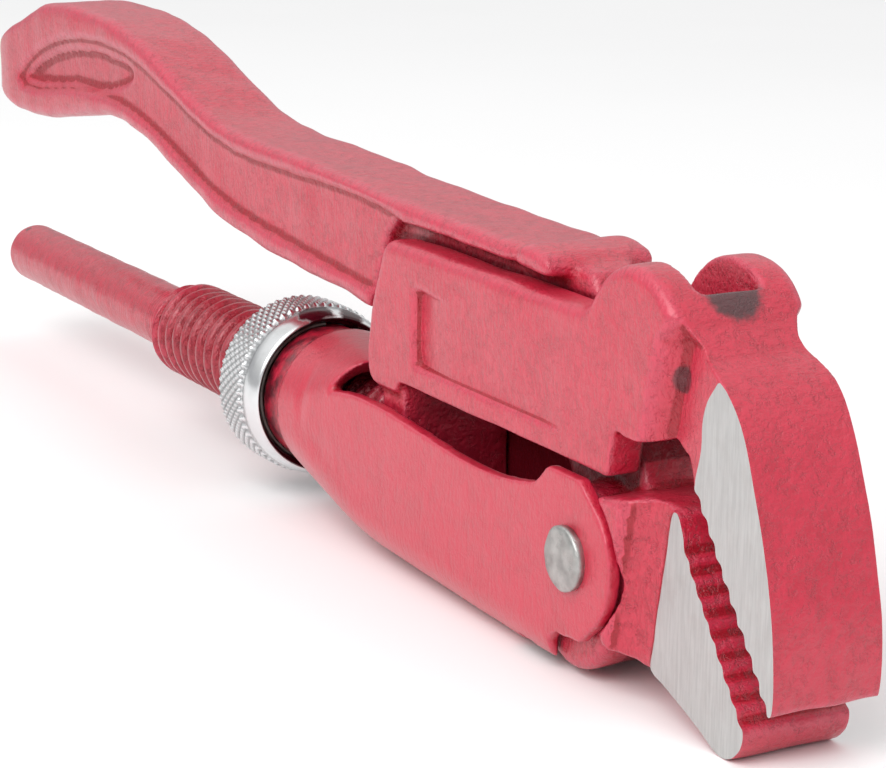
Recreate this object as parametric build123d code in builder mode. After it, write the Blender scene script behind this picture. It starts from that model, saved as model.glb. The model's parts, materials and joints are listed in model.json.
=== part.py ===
"""Corner pipe wrench of the Swedish pattern, with a screw-adjusted hook jaw.

X runs along the rod from its rear end towards the jaws, Z points up to the long lever and
Y runs across the tool, along the pivot rivet. The origin is the centre of the rod's rear face.
Every side outline is drawn on a plane through the pivot: u runs forward from the rivet and
v runs up from the rod's centre line.
"""

from build123d import *
import os
from math import cos, hypot, radians, sin

# ---------------------------------------------------------------- driving sizes, millimetres
pivot_x = 249.0            # rod's rear face to the pivot rivet
fit = 0.05                 # radial clearance of a running fit
gap = 0.4                  # clearance between pieces that slide past each other

# rod, thread and riser of the hook leg
rod_d = 12.0
rod_end_round = 2.2
thread_d = 18.0
thread_rear = -158.0       # first full turn, from the pivot
thread_run_out = 3.0
riser_front = -54.0
riser_length = 8.0
riser_bottom = -9.6

# lever leg, thicknesses
neck_half = 4.4            # half the web that swings in the fork
flange_half = 8.2
ear_half = 9.2
ear_end_round = 0.9
knuckle_inset = 0.8        # from the sleeve's ears in to the knuckle's round
handle_round = 1.8
web_relief = 1.1
bulb_relief = 1.3

# the fork above the sleeve
slot_gap = 0.5             # on each side of the lever's web
cheek_thick = 5.6
cheek_top = 34.6
cheek_heel_drop = 1.8      # the rear foot of each cheek hangs this much lower
cheek_edge_round = 1.6
cheek_heel_round = 3.0
cheek_corner_round = 3.4     # at the rear end of the cheek's top
valley_round = 4.0         # between the cheek's top and the lobe
cheek_front = 7.0
cheek_gap = 1.3            # from the sleeve's ears up to the cheeks
floor_rise = 0.7           # from the cheeks' bottom edge up to the floor of the slot
lobe_u = 12.0
lobe_v = 30.8
lobe_r = 11.7
slot_front = 19.0
throat_v = 21.0
panel_rear = -48.6         # recessed panel in the outer face of each cheek
panel_front = -5.0
panel_bottom = 16.8
panel_top = 28.1
panel_depth = 1.5
panel_round = 1.4

# both jaws
jaw_half = 8.3
teeth_depth = 0.9
hook_teeth = 10
lower_teeth = 9
tooth_land = 0.42          # share of each tooth that stays flat

# sleeve
sheet = 2.3
thread_gap = 0.6           # from the thread out to the collar's bore
collar_wall = 2.3
collar_length = 9.5
collar_step = 0.7          # from the collar out to the tube
channel_gap = 0.7          # on each side, from the thread's diameter out to the channel's wall
bottom_round = 7.0
rim_round = 1.5
sleeve_rear = -94.0
notch_front = -69.6        # front of the tube's roof
channel_rear = -56.0       # where the tube has become the full channel
channel_depth = 17.0       # below the centre line at channel_rear
channel_slope = 0.03       # further drop for each millimetre towards the ears
ear_r = 10.6
ear_rise = 1.0             # from the ear's arc up to its flat top
ear_corner_angle = 57.0    # where the ear's arc starts and ends, degrees
web_front = -17.0          # where the bottom of the channel is cut away for the lever's heel

# adjusting nut and its ring
nut_length = 13.8
nut_wall = 3.1             # over the collar
nut_overlap = 4.0          # how far the nut reaches over the collar
nut_edge = 0.9
knurl_length = 9.0
nut_step = 0.5             # from the knurl down to the plain band in front of it
nut_step_run = 0.4
nut_band = 1.0
nut_lip = 0.9              # left at the nut's front face, over the collar
ring_wire_d = 1.4
ring_back = 2.2            # from the nut's front face back to the middle of the ring

# rivets and leaf spring
rivet_d = 7.0
rivet_head_h = 1.4
rivet_head_rim = 1.1
rivet_head_round = 0.5
knuckle_gap = 0.35
spring_width = 8.0
spring_thick = 1.0
spring_rivet_u = -47.0
spring_rivet_d = 3.0
spring_rivet_length = 4.6
spring_head_h = 0.9
spring_head_gap = 0.2      # between the spring and its rivet's head
spring_seat_gap = 0.6      # from the channel's floor up to the spring at its rivet

# ---------------------------------------------------------------- sizes that follow
thread_r = thread_d / 2
slot_half = neck_half + slot_gap
cheek_half = slot_half + cheek_thick
collar_bore_r = thread_r + thread_gap
collar_r = collar_bore_r + collar_wall
tube_r = collar_r + collar_step
full_round = tube_r - 0.1
channel_half = thread_r + channel_gap + sheet
channel_inner = channel_half - sheet
riser_half = channel_inner - gap
knuckle_half = channel_inner - knuckle_gap
shoulder_half = channel_half - gap
ear_top = ear_r + ear_rise
cheek_bottom = ear_top + cheek_gap
fork_floor = cheek_bottom + floor_rise
collar_rear = sleeve_rear - collar_length
nut_front = collar_rear + nut_overlap
nut_rear = nut_front - nut_length
nut_r = collar_r + nut_wall
ring_u = nut_front - ring_back
rivet_head_r = rivet_d / 2 + rivet_head_rim
spring_seat = sheet + spring_seat_gap - channel_depth - channel_slope * (spring_rivet_u - channel_rear)

# ---------------------------------------------------------------- outlines, u and v from the pivot
hook_tooth_top = (24.7, 15.2)
hook_tooth_end = (42.4, -9.6)
hook_back = [(43.2, -9.2), (43.3, -1.0), (41.4, 8.5), (37.6, 19.5), (32.6, 28.6), (29.0, 31.2)]
lower_tooth_top = (22.6, 8.3)
lower_tooth_end = (37.4, -12.9)
lower_crown = [(2.0, 8.4), (8.0, 10.4), (15.0, 11.9), (21.2, 11.2)]
lower_belly = [lower_tooth_end, (36.6, -16.0), (33.2, -18.2), (29.0, -17.0), (20.0, -13.2),
               (10.0, -11.4), (0.0, -11.0)]
handle_top = [(-250.0, 41.4), (-246.6, 46.8), (-236.0, 51.2), (-221.0, 56.1), (-198.0, 57.8),
              (-173.0, 55.6), (-150.0, 49.2), (-132.0, 44.0), (-108.0, 42.2), (-72.0, 40.6),
              (-40.0, 39.6), (-19.0, 39.4)]
handle_nose = [(-12.5, 38.0), (-12.5, 36.3), (-44.0, 36.9), (-61.0, 36.9), (-64.4, 34.0),
               (-69.2, 21.3)]
handle_bottom = [(-69.2, 21.3), (-95.0, 23.0), (-122.0, 25.3), (-140.0, 29.3), (-160.0, 35.2),
                 (-184.0, 38.0), (-206.0, 35.0), (-224.0, 33.3), (-238.0, 33.6), (-247.6, 36.0)]
handle_end = (-250.4, 38.6)
web_upper = [(-233.0, 40.6), (-224.0, 45.9), (-210.0, 50.2), (-193.0, 52.3), (-174.0, 51.6),
             (-157.0, 48.0), (-140.0, 43.2), (-126.0, 40.5), (-108.0, 39.4), (-58.0, 37.5)]
web_lower = [(-58.0, 23.8), (-76.0, 24.9), (-96.0, 26.5), (-122.0, 29.0), (-140.0, 33.0),
             (-160.0, 38.6), (-184.0, 41.6), (-206.0, 40.4), (-222.0, 38.6), (-230.0, 38.4)]
bulb_pocket = [(-228.5, 41.4), (-219.0, 45.4), (-205.0, 48.6), (-187.0, 49.8), (-170.0, 47.2),
               (-180.0, 43.6), (-200.0, 42.4), (-218.0, 40.6)]
neck_points = [(-74.0, 21.6), (-68.0, 20.4), (-30.0, 18.6), (-18.0, 14.7), (-11.0, 6.4),
               (0.0, 4.0), (8.0, 10.0), (3.0, 20.0), (-5.0, 33.0), (-8.0, 37.6), (-14.0, 39.0),
               (-44.0, 38.6), (-74.0, 38.0)]
ear_points = [(-21.5, 36.6), (-12.4, 36.2), (-11.4, 37.4), (-13.0, 39.4), (-20.0, 40.4),
              (-21.8, 38.6)]
heel = ((-3.4, -6.6), 10.5)
shoulder_points = [(5.6, 10.2), (12.0, 11.2), (16.0, 11.6), (18.4, 8.0), (15.2, -11.6),
                   (8.4, -11.0), (5.6, -8.0)]
cove_r = 7.4
cove_top = (19.1, 7.7)      # the ground face's rear edge runs from here
cove_bottom = (15.5, -9.7)  # down to here
sleeve_rim = [(-75.6, 7.0), (-66.0, 8.4), (-57.0, 8.4), (-38.0, 7.0), (-9.6, 8.5)]
spring_shape = [(-57.0, 0.5), (spring_rivet_u, 0.0), (-32.0, -0.4), (-19.0, -0.5), (-10.6, -1.5)]

os.makedirs("parts", exist_ok=True)

side = Plane(origin=(pivot_x, 0, 0), x_dir=(1, 0, 0), z_dir=(0, -1, 0))
rod_axis = Axis((pivot_x, 0, 0), (1, 0, 0))


def across(u):
    """Plane square to the rod at u from the pivot; its x is Y and its y is Z."""
    return Plane(origin=(pivot_x + u, 0, 0), x_dir=(0, 1, 0), z_dir=(1, 0, 0))


def face_plane(y, outward):
    """Side plane moved to y, looking out along outward (+1 or -1) Y."""
    return Plane(origin=(pivot_x, y, 0), x_dir=(-outward, 0, 0), z_dir=(0, outward, 0))


def seen_from(outward, points):
    """The same (u, v) points on a face_plane that looks along outward."""
    return [(-outward * u, v) for u, v in points]


def toothed_edge(start, end, count):
    """Corners of count steps from start to end, each cut in on the left of the way."""
    length = hypot(end[0] - start[0], end[1] - start[1])
    along = ((end[0] - start[0]) / length, (end[1] - start[1]) / length)
    left = (-along[1], along[0])
    corners = []
    for tooth in range(count):
        for share, cut in ((0.0, 0.0), (tooth_land, teeth_depth)):
            run = (tooth + share) * length / count
            corners.append((start[0] + run * along[0] + cut * left[0],
                            start[1] + run * along[1] + cut * left[1]))
    corners.append(end)
    return corners


# ---------------------------------------------------------------- hook leg
with BuildPart() as hook_leg:
    # rod and thread, one behind the other
    with BuildSketch(Plane.YZ):
        Circle(rod_d / 2)
    extrude(amount=pivot_x + thread_rear)
    fillet(hook_leg.edges().sort_by(Axis.X)[0], rod_end_round)
    with BuildSketch(across(thread_rear - thread_run_out)):
        Circle(rod_d / 2)
    with BuildSketch(across(thread_rear)):
        Circle(thread_r)
    loft()
    with BuildSketch(across(thread_rear)):
        Circle(thread_r)
    extrude(amount=riser_front - thread_rear)
    # riser from the thread up into the fork
    with BuildSketch(side):
        with Locations((riser_front - riser_length / 2, (fork_floor + riser_bottom) / 2)):
            Rectangle(riser_length, fork_floor - riser_bottom)
    extrude(amount=riser_half, both=True)
    # cheeks, drawn as one block and slotted afterwards
    with BuildSketch(side) as cheek_outline:
        with BuildLine():
            Polyline(
                (-59.2, cheek_top),
                (-63.2, 24.4),
                (-64.5, cheek_bottom + 3.0),
                (-64.5, cheek_bottom - cheek_heel_drop),
                (riser_front - 1.0, cheek_bottom - cheek_heel_drop),
                (riser_front, cheek_bottom),
                (cheek_front, cheek_bottom),
                (cheek_front + 1.2, throat_v - 1.5),
                (lobe_u - 1.5, throat_v),
                (lobe_u + lobe_r, throat_v),
                (lobe_u + lobe_r, lobe_v),
                (lobe_u, cheek_top),
                close=True,
            )
        make_face()
        fillet(cheek_outline.vertices().sort_by(Axis.X)[:2].sort_by(Axis.Y)[0],
               cheek_heel_round)
        fillet(cheek_outline.vertices().sort_by(Axis.Y)[-2:].sort_by(Axis.X)[0],
               cheek_corner_round)
        with Locations((lobe_u, lobe_v)):
            Circle(lobe_r)
        valley = cheek_outline.vertices().filter_by(
            lambda v: abs(v.Y - cheek_top) < 0.01 and -8.0 < v.X < lobe_u)
        fillet(valley, valley_round)
    extrude(amount=cheek_half, both=True)
    # hook jaw
    with BuildSketch(side):
        with BuildLine():
            front = Spline(*hook_back)
            Polyline(front @ 1, (25.8, 32.6), (21.0, 37.5), (lobe_u, 34.0), (lobe_u, throat_v),
                     (19.5, throat_v - 0.4), (22.8, 19.2), (24.2, 16.8), hook_tooth_top)
            Polyline(*toothed_edge(hook_tooth_top, hook_tooth_end, hook_teeth))
            Line(hook_tooth_end, front @ 0)
        make_face()
    extrude(amount=jaw_half, both=True)
    # slot between the cheeks, open upwards and to the rear
    with BuildSketch(side):
        with BuildLine():
            Polyline(
                (-70.0, fork_floor),
                (riser_front, fork_floor),
                (riser_front, 0.0),
                (slot_front - 4.0, 0.0),
                (slot_front, throat_v),
                (slot_front, 60.0),
                (-70.0, 60.0),
                close=True,
            )
        make_face()
    extrude(amount=slot_half, both=True, mode=Mode.SUBTRACT)
    # outer top edges of the cheeks rounded over
    fillet(hook_leg.edges().filter_by(
        lambda e: e.length > 30.0 and abs(abs(e.center().Y) - cheek_half) < 0.01
        and abs(e.center().Z - cheek_top) < 0.01), cheek_edge_round)
    # recessed panel in the outer face of each cheek
    for outward in (-1, 1):
        with BuildSketch(face_plane(outward * cheek_half, outward)):
            with Locations((-outward * (panel_rear + panel_front) / 2,
                            (panel_bottom + panel_top) / 2)):
                RectangleRounded(panel_front - panel_rear, panel_top - panel_bottom, panel_round)
        extrude(amount=-panel_depth, mode=Mode.SUBTRACT)
hook_leg.part.label = "hook_leg"

# ---------------------------------------------------------------- lever leg
with BuildPart() as lever_leg:
    # handle: one long outline from the bulb at its end to the ears over the fork
    with BuildSketch(side):
        with BuildLine():
            top = Spline(*handle_top)
            Polyline(top @ 1, *handle_nose)
            bottom = Spline(*handle_bottom)
            ThreePointArc(bottom @ 1, handle_end, top @ 0)
        make_face()
    extrude(amount=flange_half, both=True)
    outline_edges = lever_leg.edges().filter_by(
        lambda e: e.length > 60.0 and abs(abs(e.center().Y) - flange_half) < 0.01)
    fillet(outline_edges, handle_round)
    # relief in both side faces: shallow along the web, deeper in the bulb
    for outward in (-1, 1):
        with BuildSketch(face_plane(outward * flange_half, outward)):
            with BuildLine():
                upper = Spline(*seen_from(outward, web_upper))
                lower = Spline(*seen_from(outward, web_lower))
                Line(upper @ 1, lower @ 0)
                Line(lower @ 1, upper @ 0)
            make_face()
        extrude(amount=-web_relief, mode=Mode.SUBTRACT)
        with BuildSketch(face_plane(outward * (flange_half - web_relief), outward)):
            with BuildLine():
                Spline(*seen_from(outward, bulb_pocket), periodic=True)
            make_face()
        extrude(amount=-bulb_relief, mode=Mode.SUBTRACT)
    # web between the cheeks and down to the knuckle
    with BuildSketch(side):
        with BuildLine():
            Polyline(*neck_points, close=True)
        make_face()
    extrude(amount=neck_half, both=True)
    # ears that lie over the cheeks
    with BuildSketch(side) as ears:
        with BuildLine():
            Polyline(*ear_points, close=True)
        make_face()
        fillet(ears.vertices(), ear_end_round)
    extrude(amount=ear_half, both=True)
    # knuckle inside the sleeve, with its heel below the rivet
    with BuildSketch(side):
        with Locations(heel[0]):
            Circle(heel[1])
        Circle(ear_r - knuckle_inset)
    extrude(amount=knuckle_half, both=True)
    # lower jaw
    with BuildSketch(side):
        with BuildLine():
            crown = Spline(*lower_crown)
            Line(crown @ 1, lower_tooth_top)
            Polyline(*reversed(toothed_edge(lower_tooth_end, lower_tooth_top, lower_teeth)))
            belly = Spline(*lower_belly)
            Line(belly @ 1, crown @ 0)
        make_face()
    extrude(amount=jaw_half, both=True)
    # shoulder that rides round the front of the sleeve's ears
    with BuildSketch(side):
        with BuildLine():
            Polyline(*shoulder_points, close=True)
        make_face()
        Circle(ear_r + gap, mode=Mode.SUBTRACT)
    extrude(amount=shoulder_half, both=True)
    # cove from the shoulder down to the ground face of the jaw, along the face's rear edge
    for outward in (-1, 1):
        cove_plane = Plane(
            origin=(pivot_x + cove_bottom[0], outward * (jaw_half + cove_r - 0.1), cove_bottom[1]),
            x_dir=(0, 1, 0),
            z_dir=(cove_top[0] - cove_bottom[0], 0, cove_top[1] - cove_bottom[1]))
        with BuildSketch(cove_plane.offset(-20.0)):
            Circle(cove_r)
        extrude(amount=60.0, mode=Mode.SUBTRACT)
    # pivot hole
    with BuildSketch(side):
        Circle(rivet_d / 2 + fit)
    extrude(amount=shoulder_half + 5.0, both=True, mode=Mode.SUBTRACT)
lever_leg.part.label = "lever_leg"


# ---------------------------------------------------------------- sleeve
def body_section(u):
    """Half width, depth and upper and lower corner radius of the sleeve at u.

    The round tube widens into the channel between the collar and channel_rear, then the
    channel's bottom drops a little more on its way to the ears.
    """
    share = min((u - sleeve_rear) / (channel_rear - sleeve_rear), 1.0)
    blend = share * share * (3.0 - 2.0 * share)
    drop = channel_depth - (channel_depth - tube_r) * (1.0 - share) ** 2
    if u > channel_rear:
        drop += channel_slope * (u - channel_rear)
    half = tube_r + (channel_half - tube_r) * blend
    upper_round = full_round + (rim_round - full_round) * blend
    lower_round = full_round + (bottom_round - full_round) * blend
    return half, drop, upper_round, lower_round


section_count = 6
section_step = (channel_rear - sleeve_rear) / section_count
section_places = [sleeve_rear + section_step * k for k in range(section_count + 1)]
section_places.append(ear_r + 3.4)
ear_corner = (ear_r * cos(radians(ear_corner_angle)), ear_r * sin(radians(ear_corner_angle)))

with BuildPart() as sleeve:
    for inset, mode in ((0.0, Mode.ADD), (sheet, Mode.SUBTRACT)):
        for u in section_places:
            half, drop, upper_round, lower_round = body_section(u)
            with BuildSketch(across(u)) as section:
                with Locations((0.0, (tube_r - drop) / 2)):
                    Rectangle(2 * (half - inset), tube_r + drop - 2 * inset)
                upper = section.vertices().group_by(Axis.Y)[-1]
                fillet(upper, max(upper_round - inset, 0.3))
                fillet(section.vertices().group_by(Axis.Y)[0], lower_round - inset)
        loft(ruled=True, mode=mode)
    # roof of the channel opened between its walls
    with BuildSketch(side):
        with Locations(((notch_front + 14.0) / 2, 15.0)):
            Rectangle(14.0 - notch_front, 30.0)
    extrude(amount=channel_inner, both=True, mode=Mode.SUBTRACT)
    # collar that the nut turns on
    with BuildSketch(across(collar_rear)):
        Circle(collar_r)
        Circle(collar_bore_r, mode=Mode.SUBTRACT)
    extrude(amount=collar_length + 2.0)
    with BuildSketch(across(sleeve_rear)):
        Circle(collar_bore_r)
    extrude(amount=3.0, mode=Mode.SUBTRACT)
    # groove in the collar for the retaining ring
    with BuildSketch(side):
        with Locations((ring_u, collar_r)):
            Circle(ring_wire_d / 2 + fit)
    revolve(axis=rod_axis, mode=Mode.SUBTRACT)
    # open top: the channel's edge, the notch behind it and the rounded ears in front
    with BuildSketch(side):
        with BuildLine():
            rim = Spline(*sleeve_rim)
            Polyline(rim @ 1, (-6.3, ear_top), (2.4, ear_top), ear_corner)
            ThreePointArc(ear_corner, (ear_r, 0.0), (ear_corner[0], -ear_corner[1]))
            Polyline((ear_corner[0], -ear_corner[1]), (3.0, -11.4), (-3.4, -11.6), (-5.4, -13.4),
                     (-5.4, -30.0), (30.0, -30.0), (30.0, 30.0), (notch_front, 30.0),
                     (notch_front, 13.0), rim @ 0)
        make_face()
    extrude(amount=30.0, both=True, mode=Mode.SUBTRACT)
    # bottom of the channel cut back for the lever's heel
    with BuildSketch(side):
        with Locations(((web_front + 10.0) / 2, -16.0)):
            Rectangle(10.0 - web_front, 12.0)
    extrude(amount=channel_inner, both=True, mode=Mode.SUBTRACT)
    # holes for the pivot rivet and the spring's rivet
    with BuildSketch(side):
        Circle(rivet_d / 2)
    extrude(amount=channel_half + 1.0, both=True, mode=Mode.SUBTRACT)
    with BuildSketch(Plane.XY):
        with Locations((pivot_x + spring_rivet_u, 0.0)):
            Circle(spring_rivet_d / 2)
    extrude(amount=-30.0, mode=Mode.SUBTRACT)
sleeve.part.label = "sleeve"

# ---------------------------------------------------------------- adjusting nut
with BuildPart() as adjusting_nut:
    # knurled rear, a step, and a cone down to the front face over the collar
    with BuildSketch(side):
        with BuildLine():
            Polyline(
                (nut_rear, thread_r + fit),
                (nut_rear, nut_r - nut_edge),
                (nut_rear + nut_edge, nut_r),
                (nut_rear + knurl_length, nut_r),
                (nut_rear + knurl_length + nut_step_run, nut_r - nut_step),
                (nut_rear + knurl_length + nut_step_run + nut_band, nut_r - nut_step),
                (nut_front, collar_r + fit + nut_lip),
                (nut_front, collar_r + fit),
                (collar_rear - gap, collar_r + fit),
                (collar_rear - gap, thread_r + fit),
                close=True,
            )
        make_face()
    revolve(axis=rod_axis)
    with BuildSketch(side):
        with Locations((ring_u, collar_r)):
            Circle(ring_wire_d / 2 + fit)
    revolve(axis=rod_axis, mode=Mode.SUBTRACT)
adjusting_nut.part.label = "adjusting_nut"

# ---------------------------------------------------------------- retaining ring
with BuildPart() as retaining_ring:
    with BuildSketch(side):
        with Locations((ring_u, collar_r)):
            Circle(ring_wire_d / 2)
    revolve(axis=rod_axis, revolution_arc=330.0)
retaining_ring.part.label = "retaining_ring"

# ---------------------------------------------------------------- pivot rivet
with BuildPart() as pivot_rivet:
    with BuildSketch(side):
        Circle(rivet_d / 2)
    extrude(amount=channel_half, both=True)
    for outward in (-1, 1):
        with BuildSketch(face_plane(outward * channel_half, outward)):
            Circle(rivet_head_r)
        extrude(amount=rivet_head_h)
    fillet(pivot_rivet.edges().filter_by(
        lambda e: abs(abs(e.center().Y) - channel_half - rivet_head_h) < 0.01), rivet_head_round)
pivot_rivet.part.label = "pivot_rivet"

# ---------------------------------------------------------------- leaf spring
with BuildPart() as leaf_spring:
    with BuildSketch(side):
        with BuildLine():
            lower = Spline(*[(u, spring_seat + v) for u, v in spring_shape])
            upper = Spline(*[(u, spring_seat + spring_thick + v) for u, v in spring_shape])
            Line(lower @ 0, upper @ 0)
            Line(lower @ 1, upper @ 1)
        make_face()
    extrude(amount=spring_width / 2, both=True)
    with BuildSketch(Plane.XY):
        with Locations((pivot_x + spring_rivet_u, 0.0)):
            Circle(spring_rivet_d / 2)
    extrude(amount=-30.0, mode=Mode.SUBTRACT)
leaf_spring.part.label = "leaf_spring"

# ---------------------------------------------------------------- spring rivet
with BuildPart() as spring_rivet:
    with BuildSketch(Plane.XY.offset(spring_seat + spring_thick + spring_head_h + spring_head_gap)):
        with Locations((pivot_x + spring_rivet_u, 0.0)):
            Circle(spring_rivet_d / 2)
    extrude(amount=-spring_rivet_length)
    with BuildSketch(Plane.XY.offset(spring_seat + spring_thick + spring_head_gap)):
        with Locations((pivot_x + spring_rivet_u, 0.0)):
            Circle(spring_rivet_d)
    extrude(amount=spring_head_h)
spring_rivet.part.label = "spring_rivet"

for piece in (hook_leg, lever_leg, sleeve, adjusting_nut, retaining_ring, pivot_rivet,
              leaf_spring, spring_rivet):
    export_step(piece.part, f"parts/{piece.part.label}.step")
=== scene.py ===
"""Finished look of a corner pipe wrench: painted forgings, cut thread, knurled nut and sheet sleeve.

All sizes are metres in the frame's own axes: X along the rod towards the jaws, Y across the tool
and Z up to the long lever. Side outlines are given from the pivot rivet, u forward and v up.
"""

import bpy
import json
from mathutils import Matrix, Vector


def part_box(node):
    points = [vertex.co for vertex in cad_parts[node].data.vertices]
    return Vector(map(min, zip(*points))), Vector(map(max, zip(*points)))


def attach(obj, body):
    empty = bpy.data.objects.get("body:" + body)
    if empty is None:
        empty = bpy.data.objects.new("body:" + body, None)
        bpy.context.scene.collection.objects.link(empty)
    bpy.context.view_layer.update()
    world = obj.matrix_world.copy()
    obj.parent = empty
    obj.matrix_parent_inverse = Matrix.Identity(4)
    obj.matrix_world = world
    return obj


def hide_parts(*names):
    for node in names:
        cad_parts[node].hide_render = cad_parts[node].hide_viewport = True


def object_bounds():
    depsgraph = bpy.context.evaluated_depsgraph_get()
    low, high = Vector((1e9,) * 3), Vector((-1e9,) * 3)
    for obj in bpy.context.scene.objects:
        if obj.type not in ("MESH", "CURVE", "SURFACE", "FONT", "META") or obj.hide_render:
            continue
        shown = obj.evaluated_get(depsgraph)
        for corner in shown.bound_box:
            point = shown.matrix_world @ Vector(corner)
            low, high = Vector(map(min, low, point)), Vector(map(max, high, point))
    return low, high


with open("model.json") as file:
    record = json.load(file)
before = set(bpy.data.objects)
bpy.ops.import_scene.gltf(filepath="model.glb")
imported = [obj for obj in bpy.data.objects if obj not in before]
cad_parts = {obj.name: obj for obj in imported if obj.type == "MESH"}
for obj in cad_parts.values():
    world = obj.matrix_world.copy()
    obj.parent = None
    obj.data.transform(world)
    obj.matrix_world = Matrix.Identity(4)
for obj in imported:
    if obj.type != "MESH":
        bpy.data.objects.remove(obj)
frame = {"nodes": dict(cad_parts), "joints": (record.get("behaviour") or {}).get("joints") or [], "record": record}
cad_box = [list(corner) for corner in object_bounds()]

import json
import math

import bmesh
import bpy
import numpy as np
from mathutils import Matrix, Vector

bl_info = {
    "name": "Corner pipe wrench",
    "version": (1, 0, 0),
    "blender": (4, 5, 0),
    "location": "3D View > Sidebar > Wrench",
    "description": "Builds the painted forgings, thread, nut and sleeve of a corner pipe wrench",
    "category": "Object",
}

MM = 0.001
WELD = 0.000001


def joint(name):
    """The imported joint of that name."""
    return next(j for j in frame["joints"] if j["name"] == name)


def screw_pitch():
    """Travel of the sleeve for one turn of the nut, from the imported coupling."""
    coupling = frame["record"]["behaviour"]["couplings"][0]
    return 2 * math.pi / coupling["ratio"]


PIVOT = Vector(joint("lever_swing")["pos_m"])
PITCH = screw_pitch()


# ---------------------------------------------------------------- settings
class WRENCH_PG_sizes(bpy.types.PropertyGroup):
    """Sizes of the fine shapes that the frame's plain solids leave out."""

    forging_net: bpy.props.FloatProperty(
        name="Forging net", description="Width of one face on the hook", default=0.42 * MM,
        min=0.2 * MM, unit="LENGTH")
    lever_net: bpy.props.FloatProperty(
        name="Lever net", description="Width of one face on the long lever", default=0.56 * MM,
        min=0.2 * MM, unit="LENGTH")
    sleeve_net: bpy.props.FloatProperty(
        name="Sleeve net", description="Width of one face on the sleeve", default=0.46 * MM,
        min=0.2 * MM, unit="LENGTH")
    ground_half: bpy.props.FloatProperty(
        name="Ground half width", description="Middle plane to each ground side of the jaws",
        default=8.3 * MM, unit="LENGTH")
    grinding: bpy.props.FloatProperty(
        name="Grinding", description="Depth ground off each side of the rough jaws",
        default=0.9 * MM, unit="LENGTH")
    lobe_half: bpy.props.FloatProperty(
        name="Lobe half width", description="Middle plane to the outside of each cheek",
        default=10.5 * MM, unit="LENGTH")
    valley_half: bpy.props.FloatProperty(
        name="Valley half width", description="Middle plane to the valley in front of each cheek",
        default=6.7 * MM, unit="LENGTH")
    swell: bpy.props.FloatProperty(
        name="Swell", description="Height of the slow swells in a forged skin",
        default=0.11 * MM, unit="LENGTH")
    thread_depth: bpy.props.FloatProperty(
        name="Thread depth", description="Crest to root of the rod's thread",
        default=1.45 * MM, unit="LENGTH")
    knurl_starts: bpy.props.IntProperty(
        name="Knurl starts", description="Grooves round the nut, each way", default=58, min=8)
    knurl_depth: bpy.props.FloatProperty(
        name="Knurl depth", description="Depth of the nut's knurl", default=0.42 * MM,
        unit="LENGTH")


class WRENCH_PG_finish(bpy.types.PropertyGroup):
    """Colours of the paint and the metals."""

    paint: bpy.props.FloatVectorProperty(
        name="Paint", description="Red paint in the open", subtype="COLOR",
        default=(0.55, 0.014, 0.046), min=0.0, max=1.0)
    # Also used as painted shade: inner corners of the paint are darkened towards this colour
    deep_paint_and_corner_shade: bpy.props.FloatVectorProperty(
        name="Deep paint", description="Paint where it gathers thick", subtype="COLOR",
        default=(0.30, 0.003, 0.012), min=0.0, max=1.0)
    paint_thin: bpy.props.FloatVectorProperty(
        name="Thin paint", description="Paint drawn thin over an edge", subtype="COLOR",
        default=(0.60, 0.050, 0.100), min=0.0, max=1.0)
    zinc: bpy.props.FloatVectorProperty(
        name="Zinc", description="Bright zinc plate of the nut", subtype="COLOR",
        default=(0.80, 0.81, 0.82), min=0.0, max=1.0)
    ground: bpy.props.FloatVectorProperty(
        name="Ground steel", description="Ground sides of the jaws", subtype="COLOR",
        default=(0.62, 0.62, 0.61), min=0.0, max=1.0)
    rivet: bpy.props.FloatVectorProperty(
        name="Rivet steel", description="Plain steel of the rivets", subtype="COLOR",
        default=(0.56, 0.56, 0.54), min=0.0, max=1.0)
    spring: bpy.props.FloatVectorProperty(
        name="Spring steel", description="Oiled spring and ring", subtype="COLOR",
        default=(0.17, 0.15, 0.14), min=0.0, max=1.0)


def sizes():
    """The scene's size settings."""
    return bpy.context.scene.wrench_sizes


def finish():
    """The scene's colour settings."""
    return bpy.context.scene.wrench_finish


# ---------------------------------------------------------------- nodes
def put(tree, kind, inputs=None, **settings):
    """Adds a node, with its settings and the values or links of its inputs."""
    node = tree.nodes.new(kind)
    for name, value in settings.items():
        setattr(node, name, value)
    for name, value in (inputs or {}).items():
        socket = node.inputs[name]
        if isinstance(value, bpy.types.NodeSocket):
            tree.links.new(value, socket)
        else:
            socket.default_value = value
    return node


def reckon(tree, operation, *values, clamp=False):
    """Output of a Math node."""
    return put(tree, "ShaderNodeMath", dict(enumerate(values)),
               operation=operation, use_clamp=clamp).outputs[0]


def colour_mix(tree, share, first, second):
    """Output of a colour mix: first where share is 0, second where it is 1."""
    node = put(tree, "ShaderNodeMix", data_type="RGBA")
    for place, value in ((0, share), (6, first), (7, second)):
        if isinstance(value, bpy.types.NodeSocket):
            tree.links.new(value, node.inputs[place])
        else:
            node.inputs[place].default_value = value
    return node.outputs[2]


def eased(tree, value, low, high):
    """Value spread smoothly to 0 at low and 1 at high."""
    return put(tree, "ShaderNodeMapRange", {"Value": value, "From Min": low, "From Max": high},
               interpolation_type="SMOOTHSTEP").outputs["Result"]


def noise(tree, vector, scale, detail=3.0, roughness=0.55):
    """Value of a noise texture; scale is in lumps to the metre."""
    return put(tree, "ShaderNodeTexNoise", {"Vector": vector, "Scale": scale, "Detail": detail,
                                            "Roughness": roughness}).outputs["Fac"]


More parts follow.
